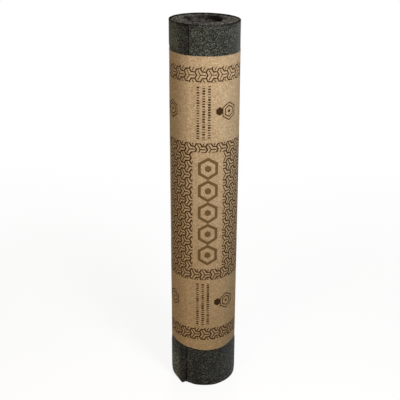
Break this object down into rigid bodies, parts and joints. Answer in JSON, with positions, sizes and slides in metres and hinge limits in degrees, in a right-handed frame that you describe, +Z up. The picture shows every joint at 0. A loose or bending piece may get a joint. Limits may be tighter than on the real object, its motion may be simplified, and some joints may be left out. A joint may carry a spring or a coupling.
{
  "type": "roofing felt roll",
  "caption": "Standing cylindrical roll of granule-faced roofing felt, wound round an open bore and held shut by a wide kraft paper band.",
  "frame": {"origin": "centre of the roll's lower end, on the surface that it stands on", "axes": "+Z up the roll's axis to its upper end; -Y is the side with the sheet's free end, at about 31 degrees to the left of it seen from outside"},
  "size_m": [0.1792, 0.1782, 1],
  "materials": {
    "felt": "bitumen sheet faced with dark grey mineral granules, matt and gritty",
    "kraft_paper": "matt kraft paper printed in brown"
  },
  "bodies": {
    "root": {"felt_roll": "felt", "paper_wrapper": "kraft_paper"}
  },
  "joints": []
}
